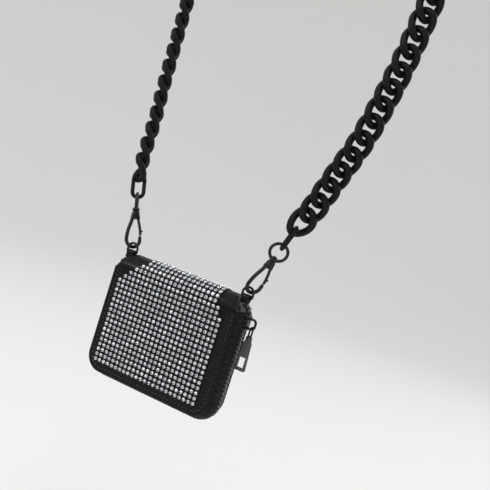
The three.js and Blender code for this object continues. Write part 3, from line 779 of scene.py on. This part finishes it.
class WALLET_OT_covers(bpy.types.Operator):
    """Makes the two leather covers with their rounded edges, pressed seam channels, piping and stitches"""
    bl_idname = "wallet.covers"
    bl_label = "Covers"

    def execute(self, context):
        sizes = context.scene.wallet_leather
        for which, facing, body in (("front", -1, "front_half"), ("back", 1, "wallet_back")):
            add_piece(f"{which}_leather", self.cover(sizes, facing), body, coated_leather(),
                      [f"{which}_cover"])
            whole, at = edge_line(-sizes.piping / MM * 0.3, COVER_TOP - 0.5)
            bead_y = facing * (HALF_DEPTH - sizes.piping / MM * 0.25)
            count = round(whole / 1.5)
            bead = [at(whole * i / count)[0] + Vector((0, bead_y, 0)) for i in range(count + 1)]
            add_piece(f"{which}_piping", wire(bead, sizes.piping / MM, roundness=4), body, coated_leather())
            whole, at = edge_line(-sizes.seam_inset / MM, COVER_TOP - 1.5)
            places = stitches_along(at, whole, sizes, facing * (HALF_DEPTH + 0.02))
            add_piece(f"{which}_stitches", repeated(stitch_shape(sizes), places), body, sewing_thread(),
                      smooth=80)
        return {"FINISHED"}

    def cover(self, sizes, facing):
        """One cover: a slab with round lower corners and a channel pressed in along its stitches."""
        inside, outside = facing * (HALF_DEPTH - COVER), facing * HALF_DEPTH
        bm = block((-HALF_WIDTH, min(inside, outside), 0), (HALF_WIDTH, max(inside, outside), COVER_TOP))
        lower = [e for e in bm.edges if all(v.co.z < 1 for v in e.verts)
                 and abs(e.verts[0].co.y - e.verts[1].co.y) > 1]
        bmesh.ops.bevel(bm, geom=lower, offset=CORNER, offset_type="OFFSET", affect="EDGES", segments=14,
                        profile=0.5, material=-1)
        soften(bm, sizes.edge_round / MM, 3, 60)
        face = max(bm.faces, key=lambda f: f.normal.y * facing * f.calc_area())
        border = sizes.seam_inset / MM - sizes.seam_width / MM / 2 - sizes.edge_round / MM
        flat = sizes.seam_width / MM - 0.5
        for thickness, depth in ((border, 0.0), (0.25, -0.35), (flat, 0.0), (0.25, 0.35)):
            bmesh.ops.inset_region(bm, faces=[face], thickness=thickness, depth=depth, use_even_offset=True)
        return bm


# ---- spine, ring tabs and ends -----------------------------------------------------------------


def arch(outer, inner, left, right, steps=36):
    """A half tube over the fold, from its front to its back."""
    start = math.asin(GAP / 2 / outer)
    bm = shape(bmesh.ops.create_grid, x_segments=1, y_segments=1, size=0.5)
    bmesh.ops.scale(bm, vec=(right - left, outer - inner, 1), verts=bm.verts)
    bmesh.ops.translate(bm, vec=((left + right) / 2, -(outer + inner) / 2, FOLD), verts=bm.verts)
    bmesh.ops.rotate(bm, cent=(0, 0, FOLD), matrix=Matrix.Rotation(-start, 3, "X"), verts=bm.verts)
    bmesh.ops.spin(bm, geom=bm.verts[:] + bm.edges[:] + bm.faces[:], cent=(0, 0, FOLD), axis=(1, 0, 0),
                   angle=-(math.pi - 2 * start), steps=steps)
    bmesh.ops.recalc_face_normals(bm, faces=bm.faces)
    return bm


def trim(bm, place, normal):
    """Cuts away what lies on the normal's side of a plane, and closes the cut."""
    cut = bmesh.ops.bisect_plane(bm, geom=bm.verts[:] + bm.edges[:] + bm.faces[:], plane_co=place,
                                 plane_no=normal, clear_outer=True)
    edges = [e for e in cut["geom_cut"] if isinstance(e, bmesh.types.BMEdge)]
    bmesh.ops.holes_fill(bm, edges=edges, sides=0)
    bmesh.ops.recalc_face_normals(bm, faces=bm.faces)
    return bm


class WALLET_OT_spine(bpy.types.Operator):
    """Makes the leather spine, its lining and the tabs that hold the D-rings"""
    bl_idname = "wallet.spine"
    bl_label = "Spine"

    def execute(self, context):
        top_high = wallet_box("spine_cover")[1]
        crest = max(v.co.x for v in copy_of("spine_cover").verts if v.co.z > top_high.z - 0.6)
        lean = Vector((HALF_DEPTH, 0, HALF_WIDTH + 0.5 - crest)).normalized()
        for name, outer, thickness, finish, slot in (
                ("spine_leather", HALF_DEPTH, COVER, coated_leather(), "leather"),
                ("spine_inner_lining", HALF_DEPTH - COVER - GAP, 0.7, lining_cloth(), "lining")):
            bm = arch(outer, outer - thickness, -HALF_WIDTH, HALF_WIDTH)
            for side in (1, -1):
                trim(bm, (side * (HALF_WIDTH + 0.5), 0, FOLD - 1), (side * lean.x, 0, lean.z))
            soften(bm, min(0.5, thickness / 3), 3, 50)
            add_piece(name, bm, "wallet_back", finish,
                      ["spine_cover" if slot == "leather" else "spine_lining"])
        for side, name in ((1, "right"), (-1, "left")):
            inner = HALF_DEPTH - COVER - GAP - 0.9
            bm = arch(inner, 0.2, -HALF_WIDTH, HALF_WIDTH)
            outward = Vector((side * lean.x, 0, lean.z))
            face = Vector((side * (HALF_WIDTH + 0.5), 0, FOLD - 1))
            trim(bm, face - outward * 0.8, outward)
            trim(bm, face - outward * 2.2, -outward)
            add_piece(f"{name}_end_gusset", bm, "wallet_back", coated_leather())
        for side in SIDES:
            tab = soften(copy_of(f"{side}_ring_tab"), 0.35, 3)
            add_piece(f"{side}_tab_leather", tab, "wallet_back", coated_leather(),
                      [f"{side}_ring_tab"])
        return {"FINISHED"}


# ---- rhinestones -------------------------------------------------------------------------------


def stone_shape(sizes):
    """One cut stone on the z axis: girdle, sloping facets and a flat table."""
    radius, height = sizes.diameter / MM / 2, sizes.height / MM
    stone = shape(bmesh.ops.create_circle, cap_ends=True, segments=10, radius=radius)
    table = stone.faces[:]
    for lift, shrink in ((0.3 * height, 1.0), (0.45 * height, 0.74), (0.25 * height, 0.62)):
        grown = bmesh.ops.extrude_face_region(stone, geom=table)["geom"]
        verts = [g for g in grown if isinstance(g, bmesh.types.BMVert)]
        table = [g for g in grown if isinstance(g, bmesh.types.BMFace)]
        bmesh.ops.translate(stone, vec=(0, 0, lift), verts=verts)
        bmesh.ops.scale(stone, vec=(shrink, shrink, 1), verts=verts)
    bmesh.ops.recalc_face_normals(stone, faces=stone.faces)
    return stone


def painted_facet_flashes(stone, dice):
    """Painted reflections for one stone's facets: the table painted darkest as a reflected dark centre, the
    slopes painted bright as highlights but for a few.
    """
    top = max(v.co.z for v in stone.verts)
    painted_flashes = []
    # each value is a painted reflection: how bright or dark the facet is painted
    for face in stone.faces:
        if face.normal.z > 0.95 and face.calc_center_median().z > top - 0.01:
            painted_flashes.append(dice.choice((0.08, 0.15, 0.3, 0.9)))
        else:
            painted_flashes.append(dice.choice((1.0, 1.0, 0.95, 0.9, 0.8, 0.45)))
    return painted_flashes


class WALLET_OT_stones(bpy.types.Operator):
    """Sets the rhinestones row by row on the covers and over the spine"""
    bl_idname = "wallet.stones"
    bl_label = "Rhinestones"

    def execute(self, context):
        sizes = context.scene.wallet_stones
        pitch = sizes.pitch / MM
        low, high = wallet_box("front_stone_sheet")
        ground = HALF_DEPTH + GAP + 0.25
        front_rows = int((high.z - low.z) / pitch)
        arch_length = math.pi * ground
        spine_rows = int((arch_length + 2 * (high.z - low.z - front_rows * pitch)) / pitch)
        rows = 2 * front_rows + spine_rows
        columns = [low.x + (column + 0.5) * pitch for column in range(sizes.columns)]
        dice = random.Random(11)
        sample = stone_shape(sizes)
        layouts = {"front": [], "spine": [], "back": []}
        for row in range(rows):
            if row < front_rows:
                part, depth = "front", row
            elif row >= front_rows + spine_rows:
                part, depth = "back", rows - 1 - row
            else:
                part, depth = "spine", front_rows + min(row - front_rows, rows - 1 - row - front_rows)
            first = max(0, min(sizes.left_cut, depth - sizes.full_rows + 1))
            last = sizes.columns - 1 - max(0, min(sizes.right_cut, (depth - sizes.full_rows + 2) // 2))
            for column in range(first, last + 1):
                layouts[part].append(self.place(row, columns[column], low.z, pitch, ground, dice,
                                                arch_length, part, depth))
        for part, body in (("front", "front_half"), ("spine", "wallet_back"), ("back", "wallet_back")):
            # painted highlights and painted dark reflections, facet by facet, for every stone
            painted_flashes = [painted_facet_flashes(sample, dice) for _ in layouts[part]]
            stones = repeated(stone_shape(sizes), layouts[part], painted_flashes)
            add_piece(f"{part}_stones", stones, body, foiled_glass(), smooth=1)
        for part, body in (("front", "front_half"), ("back", "wallet_back")):
            sheet = copy_of(f"{part}_stone_sheet")
            facing = -1 if part == "front" else 1
            for vert in sheet.verts:
                if vert.co.y * facing > HALF_DEPTH + GAP + 0.5:
                    vert.co.y = facing * ground
                else:
                    vert.co.y = facing * (HALF_DEPTH - 0.2)
            soften(sheet, 0.15, 2)
            add_piece(f"{part}_stone_ground", sheet, body, stone_ground(),
                      [f"{part}_stone_sheet"])
        low, high = wallet_box("spine_stone_sheet")
        spine = soften(arch(ground, HALF_DEPTH - 0.2, low.x, high.x), 0.1, 2, 60)
        add_piece("spine_stone_ground", spine, "wallet_back", stone_ground(),
                  ["spine_stone_sheet"])
        return {"FINISHED"}

    def place(self, row, x, bottom, pitch, ground, dice, arch_length, part, depth):
        """Where one stone stands: its z axis away from the leather, with a small tilt of its own."""
        tilt = (Matrix.Rotation(math.radians(dice.uniform(-4, 4)), 4, "X")
                @ Matrix.Rotation(math.radians(dice.uniform(-4, 4)), 4, "Y")
                @ Matrix.Rotation(math.radians(dice.uniform(0, 36)), 4, "Z"))
        if part != "spine":
            facing = -1 if part == "front" else 1
            out = Matrix.Rotation(math.radians(90 if part == "front" else -90), 4, "X")
            place = Matrix.Translation((x, facing * (ground - 0.05), bottom + (depth + 0.5) * pitch))
            return place @ out @ tilt
        along = bottom + (row + 0.5) * pitch - FOLD
        angle = math.pi * along / arch_length
        return (Matrix.Translation((x, 0, FOLD)) @ Matrix.Rotation(math.pi / 2 - angle, 4, "X")
                @ Matrix.Translation((0, 0, ground - 0.05)) @ tilt)


# ---- zip ---------------------------------------------------------------------------------------


def tooth_shape(sizes, facing):
    """One tooth in an edge frame: x outwards, y across the zip, z along it; slanted, with a rounded head."""
    length_along, reach = sizes.tooth_length / MM, sizes.tooth_reach / MM
    tip = -facing * 0.75
    root = tip + facing * reach
    tooth = block((-1.0, min(root, tip), -length_along / 2), (1.15, max(root, tip), length_along / 2))
    for vert in tooth.verts:
        near_tip = abs(vert.co.y - tip) < 0.1
        vert.co.z = vert.co.z * (0.72 if near_tip else 1.0) + (0.7 if near_tip else -0.45)
        vert.co.x *= 1.0 if near_tip else 0.8
    bmesh.ops.bevel(tooth, geom=tooth.edges[:], offset=0.4, offset_type="OFFSET", affect="EDGES", segments=2,
                    profile=0.5, material=-1)
    return tooth


class WALLET_OT_zip(bpy.types.Operator):
    """Makes the zip's two bellied tapes, its rows of teeth and the turned ends"""
    bl_idname = "wallet.zip"
    bl_label = "Zip"

    def execute(self, context):
        sizes = context.scene.wallet_zip
        low, high = wallet_box("front_zip_teeth")
        outset = high.x - HALF_WIDTH - 1.0
        pitch = sizes.tooth_pitch / MM
        for which, facing, body in (("front", -1, "front_half"), ("back", 1, "wallet_back")):
            frames = edge_frames(0, FOLD - GAP)
            add_piece(f"{which}_tape_cloth", sweep(self.tape_section(sizes, facing, outset), frames), body,
                      zip_cloth(), [f"{which}_zip_tape"])
            whole, at = edge_line(outset, FOLD - GAP)
            count = int(whole / pitch)
            shift = 0.25 if which == "front" else 0.75
            places = [edge_frame(*at((i + shift) * whole / count)) for i in range(count)]
            add_piece(f"{which}_teeth_row", repeated(tooth_shape(sizes, facing), places), body,
                      moulded_teeth(), [f"{which}_zip_teeth"])
            cord_line = [at(whole * i / 170)[0] + Vector((0, facing * 2.75, 0)) for i in range(171)]
            add_piece(f"{which}_tape_cord", wire(cord_line, 1.1, roundness=3), body, zip_cloth())
        for side, sign in SIDES.items():
            low, high = wallet_box(f"{side}_zip_end")
            end = soften(copy_of(f"{side}_zip_end"), 0.4, 3, 50)
            add_piece(f"{side}_end_cloth", end, "wallet_back", zip_cloth(), [f"{side}_zip_end"])
            outer_x = max(abs(low.x), abs(high.x))
            radius = high.z - FOLD - GAP / 2
            centre = outer_x - radius
            places = []
            for i in range(6):
                angle = math.radians(12 + 15 * i)
                outward = Vector((sign * math.cos(angle), 0, math.sin(angle)))
                place = Vector((sign * centre, 0, FOLD + GAP / 2)) + outward * (radius - 0.3)
                places.append((edge_frame(place, outward), -1 if i % 2 else 1))
            rows = [repeated(tooth_shape(sizes, facing), [p for p, f in places if f == facing])
                    for facing in (-1, 1)]
            add_piece(f"{side}_end_teeth", joined(*rows), "wallet_back", moulded_teeth())
        return {"FINISHED"}

    def tape_section(self, sizes, facing, outset):
        """The tape's section: tucked in behind the cover, bellied out, and ending beside the teeth."""
        thickness = sizes.tape / MM
        start, end = HALF_DEPTH - COVER - GAP, 2.9
        centre = []
        for i in range(9):
            share = i / 8
            across = start + (end - start) * share
            out = -1.0 + (outset + 0.8) * math.sin(share * math.pi / 2)
            centre.append((out, facing * across))
        outside = [(x + thickness / 2, y) for x, y in centre]
        inside = [(x - thickness / 2, y) for x, y in reversed(centre)]
        return outside + inside


class WALLET_OT_slider(bpy.types.Operator):
    """Makes the zip's slider with its crown, the bail and the flared pull tab"""
    bl_idname = "wallet.slider"
    bl_label = "Slider and pull"

    def execute(self, context):
        low, high = wallet_box("zip_slider")
        middle = (low.z + high.z) / 2
        half = (high.z - low.z) / 2
        plate_x = high.x - 6.2 - 1.3
        outer = self.plate(plate_x, plate_x + 1.3, 3.7, middle, half)
        inner = self.plate(low.x, low.x + 1.3, 2.5, middle, half)
        web = block((low.x + 0.4, -0.3, middle - half + 1), (plate_x + 0.4, 0.3, middle + half - 1), 0.1)
        top, reach = high.x - 0.85, 3.5
        crown = [Vector((plate_x + 0.6, 0, middle - reach)),
                 *arc(top - 2.4, middle - reach + 2.4, 2.4, -90, 0),
                 *arc(top - 2.4, middle + reach - 2.4, 2.4, 0, 90),
                 Vector((plate_x + 0.6, 0, middle + reach))]
        crown_wire = wire(crown, 1.7, widths=[1.35] + [1.0] * (len(crown) - 2) + [1.35])
        bmesh.ops.scale(crown_wire, vec=(1, 1.45, 1), verts=crown_wire.verts)
        add_piece("slider_casting", joined(outer, inner, web, crown_wire), "slider", black_lacquer(),
                  ["zip_slider"])

        low, high = wallet_box("pull_bail")
        x = (low.x + high.x) / 2
        loop = [Vector((x, p.x, p.z)) for p in rounded_loop((high.y - low.y) / 2 - 0.65, low.z + 0.65,
                                                            high.z - 0.65, 1.6)]
        add_piece("bail_wire", wire(loop, 1.3, closed=True, roundness=5), "bail", black_lacquer(),
                  ["pull_bail"])

        tab = soften(copy_of("pull_tab"), 0.28, 3, 60)
        for face in tab.faces:
            if abs(face.normal.y) > 0.99 and face.calc_area() > 4:
                face.material_index = 1
        add_piece("pull_plate", tab, "tab", black_lacquer(), ["pull_tab"],
                  face_finish=satin_face())
        return {"FINISHED"}

    def plate(self, near, far, half_width, middle, half):
        """One plate of the slider, its corners rounded and its lower end drawn in."""
        bm = block((near, -half_width, middle - half), (far, half_width, middle + half))
        for vert in bm.verts:
            if vert.co.z < middle:
                vert.co.y *= 0.78
        corners = [e for e in bm.edges if abs(e.verts[0].co.x - e.verts[1].co.x) > 0.5]
        bmesh.ops.bevel(bm, geom=corners, offset=1.5, offset_type="OFFSET", affect="EDGES", segments=6,
                        profile=0.5, material=-1)
        return soften(bm, 0.35, 3, 60)


# ---- rings, hooks and end links ----------------------------------------------------------------


class WALLET_OT_hardware(bpy.types.Operator):
    """Makes the D-rings, snap hooks, gates, swivel rings and end links"""
    bl_idname = "wallet.hardware"
    bl_label = "Rings and hooks"

    def execute(self, context):
        sizes = context.scene.wallet_strap
        black, slot = black_lacquer(), "gloss_black_metal"
        turns = {"right": (60, 30, 120), "left": (60, 120, 30)}
        for side in SIDES:
            low, high = wallet_box(f"{side}_d_ring")
            middle, half, bend = (low.x + high.x) / 2, (high.x - low.x) / 2 - 0.9, 1.2
            bar, crown = low.z + 0.9, high.z - 0.9
            loop = [*arc(half - bend, bar + bend, bend, -90, 0, 6), *arc(0, crown - half, half, 0, 180, 24),
                    *arc(-half + bend, bar + bend, bend, 180, 270, 6)]
            ring = moved(wire(loop, 1.8, closed=True), Matrix.Translation((middle, 0, 0)))
            add_piece(f"{side}_ring_wire", ring, f"{side}_ring", black, [f"{side}_d_ring"])

            hook_turn, ring_turn, link_turn = turns[side]
            frame_of_hook = hook_frame(side, hook_turn)
            add_piece(f"{side}_hook_casting", moved(self.hook(sizes), frame_of_hook), f"{side}_hook_body",
                      black, [f"{side}_hook"])
            add_piece(f"{side}_gate_finger", moved(self.gate(), frame_of_hook), f"{side}_gate", black,
                      [f"{side}_hook_gate"])
            add_piece(f"{side}_swivel", moved(self.swivel_ring(sizes), hook_frame(side, ring_turn)),
                      "wallet_back", black, [f"{side}_swivel_ring"])
            reach = 21 / 2 - sizes.end_link_wire / MM / 2
            half = 11.5 / 2 - sizes.end_link_wire / MM / 2
            loop = rounded_loop(half, END_LINK_MIDDLE - reach, END_LINK_MIDDLE + reach, half - 0.01)
            link = wire(loop, sizes.end_link_wire / MM, closed=True)
            add_piece(f"{side}_end_loop", moved(link, hook_frame(side, link_turn)), "wallet_back",
                      matt_coat(), [f"{side}_end_link"])
        refinish(black, "left_gate_pin", "right_gate_pin")
        return {"FINISHED"}

    def hook(self, sizes):
        """A snap hook in its own axes: a teardrop loop, a tapered neck and the swivel's riveted post."""
        arm = bezier((-2.1, 23.0), (-3.0, 17.5), (-5.6, 13.4), (-5.6, 5.6))
        bend = arc(0, 5.6, 5.6, 180, 360, 24)
        nose = [Vector((5.6, 0, z)) for z in (6.6, 7.8, 9)]
        points = [*arm, *bend[1:], *nose]
        loop = wire(points, sizes.hook_wire / MM, widths=[1.0] * (len(points) - 3) + [0.98, 0.92, 0.82])
        bottom = NECK_HEIGHT - 6
        neck = block((-3.6, -2, bottom), (3.6, 2, NECK_HEIGHT))
        for vert in neck.verts:
            if vert.co.z > bottom + 1:
                vert.co.x *= 2.4 / 3.6
        soften(neck, 0.7, 4, 50)
        collar = post(4.6, NECK_HEIGHT - 0.4, NECK_HEIGHT + 0.28, 4.0, rounding=0.12)
        stem = post(2.4, NECK_HEIGHT - 0.5, NECK_HEIGHT + 3.0)
        head = post(4.3, NECK_HEIGHT + 2.9, NECK_HEIGHT + 4.0, 3.0, rounding=0.3)
        return joined(loop, neck, collar, stem, head)

    def gate(self):
        """The sprung finger that closes the hook, with a thumb stud near its foot."""
        points = bezier((5.6, 9.6), (5.6, 14.5), (3.6, 18.3), (2.4, 23.2), 16)
        finger = wire(points, 2.2, widths=[0.82, 0.95] + [1.0] * 13 + [0.9])
        stud = moved(post(1.8, 0, 1.0, 1.4, rounding=0.2), Matrix.Translation((6.3, 0, 13.0))
                     @ Matrix.Rotation(math.radians(80), 4, "Y"))
        return joined(finger, stud)

    def swivel_ring(self, sizes):
        """The ring and the flat boss that turns on the hook's post."""
        ring_wire = sizes.ring_wire / MM
        radius = 6.35
        ring = wire(arc(0, RING_MIDDLE, radius, -66, 246, 56), ring_wire,
                    widths=[1.15, 1.1] + [1.0] * 53 + [1.1, 1.15])
        boss = shape(bmesh.ops.create_circle, cap_ends=False, segments=40, radius=1.5)
        bmesh.ops.translate(boss, vec=(0, 0, NECK_HEIGHT + 0.35), verts=boss.verts)
        profile = boss.edges[:]
        for lift, radius_to in ((0, 2.5), (0.35, 2.9), (1.6, 2.9), (2.2, 2.4), (2.2, 1.5)):
            grown = bmesh.ops.extrude_edge_only(boss, edges=profile)["geom"]
            profile = [g for g in grown if isinstance(g, bmesh.types.BMEdge) and g.is_boundary]
            verts = [g for g in grown if isinstance(g, bmesh.types.BMVert)]
            for vert in verts:
                flat = Vector((vert.co.x, vert.co.y, 0)).normalized() * radius_to
                vert.co = flat + Vector((0, 0, NECK_HEIGHT + 0.35 + lift))
        rims = [e for e in boss.edges if e.is_boundary]
        bmesh.ops.bridge_loops(boss, edges=rims)
        bmesh.ops.recalc_face_normals(boss, faces=boss.faces)
        return joined(ring, boss)


# ---- inside ------------------------------------------------------------------------------------


class WALLET_OT_inside(bpy.types.Operator):
    """Makes the linings, card and note pockets with hemmed edges, boards and coin pocket"""
    bl_idname = "wallet.inside"
    bl_label = "Inside"

    def execute(self, context):
        seam = context.scene.wallet_leather
        cloth = lining_cloth()
        for name, body in (("front_lining", "front_half"), ("back_lining", "wallet_back")):
            add_piece(f"{name}_cloth", soften(copy_of(name), 0.2, 2, 60), body, cloth, [name])
        pockets = (("front_bill_pocket", "front_half", 1), ("card_pocket_1", "wallet_back", -1),
                   ("card_pocket_2", "wallet_back", -1), ("card_pocket_3", "wallet_back", -1))
        for name, body, facing in pockets:
            add_piece(f"{name}_panel", soften(copy_of(name), 0.2, 2, 60), body, coated_leather(),
                      [name])
            low, high = wallet_box(name)
            face = high.y if facing > 0 else low.y
            hem = block((low.x + 0.4, face - 0.05 if facing > 0 else face - 0.2, high.z - 2.0),
                        (high.x - 0.4, face + 0.2 if facing > 0 else face + 0.05, high.z - 0.1), 0.1, 2)
            add_piece(f"{name}_hem", hem, body, coated_leather())
            count = int((high.x - low.x - 4) / (seam.stitch_pitch / MM))
            turn = Matrix.Rotation(math.pi / 2, 4, "Y")
            places = [Matrix.Translation((low.x + 2 + (i + 0.5) * (high.x - low.x - 4) / count,
                                          face + facing * 0.0, high.z - 3.2)) @ turn for i in range(count)]
            add_piece(f"{name}_stitches", repeated(stitch_shape(seam), places), body, sewing_thread(),
                      smooth=80)
        for name in ("coin_pocket_front", "coin_pocket_back"):
            panel = soften(copy_of(name), 0.2, 2, 60)
            add_piece(f"{name}_panel", panel, "coin_leaf", cloth, [name])
        add_piece("coin_binding_tape", soften(copy_of("coin_pocket_binding"), 0.2, 2, 60), "coin_leaf",
                  zip_cloth(), ["coin_pocket_binding"])
        add_piece("leaf_hinge_tape", soften(copy_of("leaf_tape"), 0.2, 2, 60), "wallet_back", zip_cloth(),
                  ["leaf_tape"])
        add_piece("coin_slider_casting", soften(copy_of("coin_zip_slider"), 0.2, 3, 60), "coin_slider",
                  black_lacquer(), ["coin_zip_slider"])
        self.coin_zip()
        refinish(grey_board(), "front_board", "back_board")
        return {"FINISHED"}

    def coin_zip(self):
        """The coin pocket's fine zip: two tapes and a row of small coil turns between them."""
        low, high = wallet_box("coin_zip_chain")
        middle = (low.z + high.z) / 2
        tapes = [block((low.x, low.y + 0.5, z0), (high.x, high.y - 0.5, z1), 0.2)
                 for z0, z1 in ((low.z, middle - 1.3), (middle + 1.3, high.z))]
        add_piece("coin_zip_tapes", joined(*tapes), "coin_leaf", zip_cloth(),
                  ["coin_zip_chain"])
        turn = block((-0.45, -0.75, -1.35), (0.45, 0.75, 1.35), 0.25, 1)
        count = int((high.x - low.x) / 1.25)
        places = [Matrix.Translation((low.x + (i + 0.5) * (high.x - low.x) / count, 0, middle))
                  @ Matrix.Rotation(math.radians(14 if i % 2 else -14), 4, "Y") for i in range(count)]
        add_piece("coin_zip_coil", repeated(turn, places), "coin_leaf", moulded_teeth())


# ---- panel and registration --------------------------------------------------------------------

OPERATORS = (WALLET_OT_strap_chain, WALLET_OT_stage, WALLET_OT_covers, WALLET_OT_spine, WALLET_OT_stones,
             WALLET_OT_zip, WALLET_OT_slider, WALLET_OT_hardware, WALLET_OT_inside)
GROUPS = {"wallet_leather": LeatherSizes, "wallet_stones": StoneSizes, "wallet_zip": ZipSizes,
          "wallet_strap": StrapSizes, "wallet_colours": Colours, "wallet_stage": StageSettings}


class WALLET_PT_parts(bpy.types.Panel):
    """Lists the wallet's pieces in the order in which they are made"""
    bl_idname = "WALLET_PT_parts"
    bl_label = "Chain wallet"
    bl_space_type = "VIEW_3D"
    bl_region_type = "UI"
    bl_category = "Chain wallet"

    def draw(self, context):
        for name in GROUPS:
            for prop in getattr(context.scene, name).bl_rna.properties:
                if not prop.is_readonly and prop.identifier != "name":
                    self.layout.prop(getattr(context.scene, name), prop.identifier)
        for operator in OPERATORS:
            self.layout.operator(operator.bl_idname)


def register():
    for group in GROUPS.values():
        bpy.utils.register_class(group)
    for name, group in GROUPS.items():
        setattr(bpy.types.Scene, name, PointerProperty(type=group))
    for cls in (*OPERATORS, WALLET_PT_parts):
        bpy.utils.register_class(cls)


def unregister():
    for cls in (WALLET_PT_parts, *reversed(OPERATORS)):
        bpy.utils.unregister_class(cls)
    for name, group in GROUPS.items():
        delattr(bpy.types.Scene, name)
        bpy.utils.unregister_class(group)


def main():
    register()
    bpy.ops.wallet.stage()
    bpy.ops.wallet.strap_chain()
    bpy.ops.wallet.hardware()
    bpy.ops.wallet.covers()
    bpy.ops.wallet.spine()
    bpy.ops.wallet.stones()
    bpy.ops.wallet.zip()
    bpy.ops.wallet.slider()
    bpy.ops.wallet.inside()


if __name__ == "__main__":
    main()
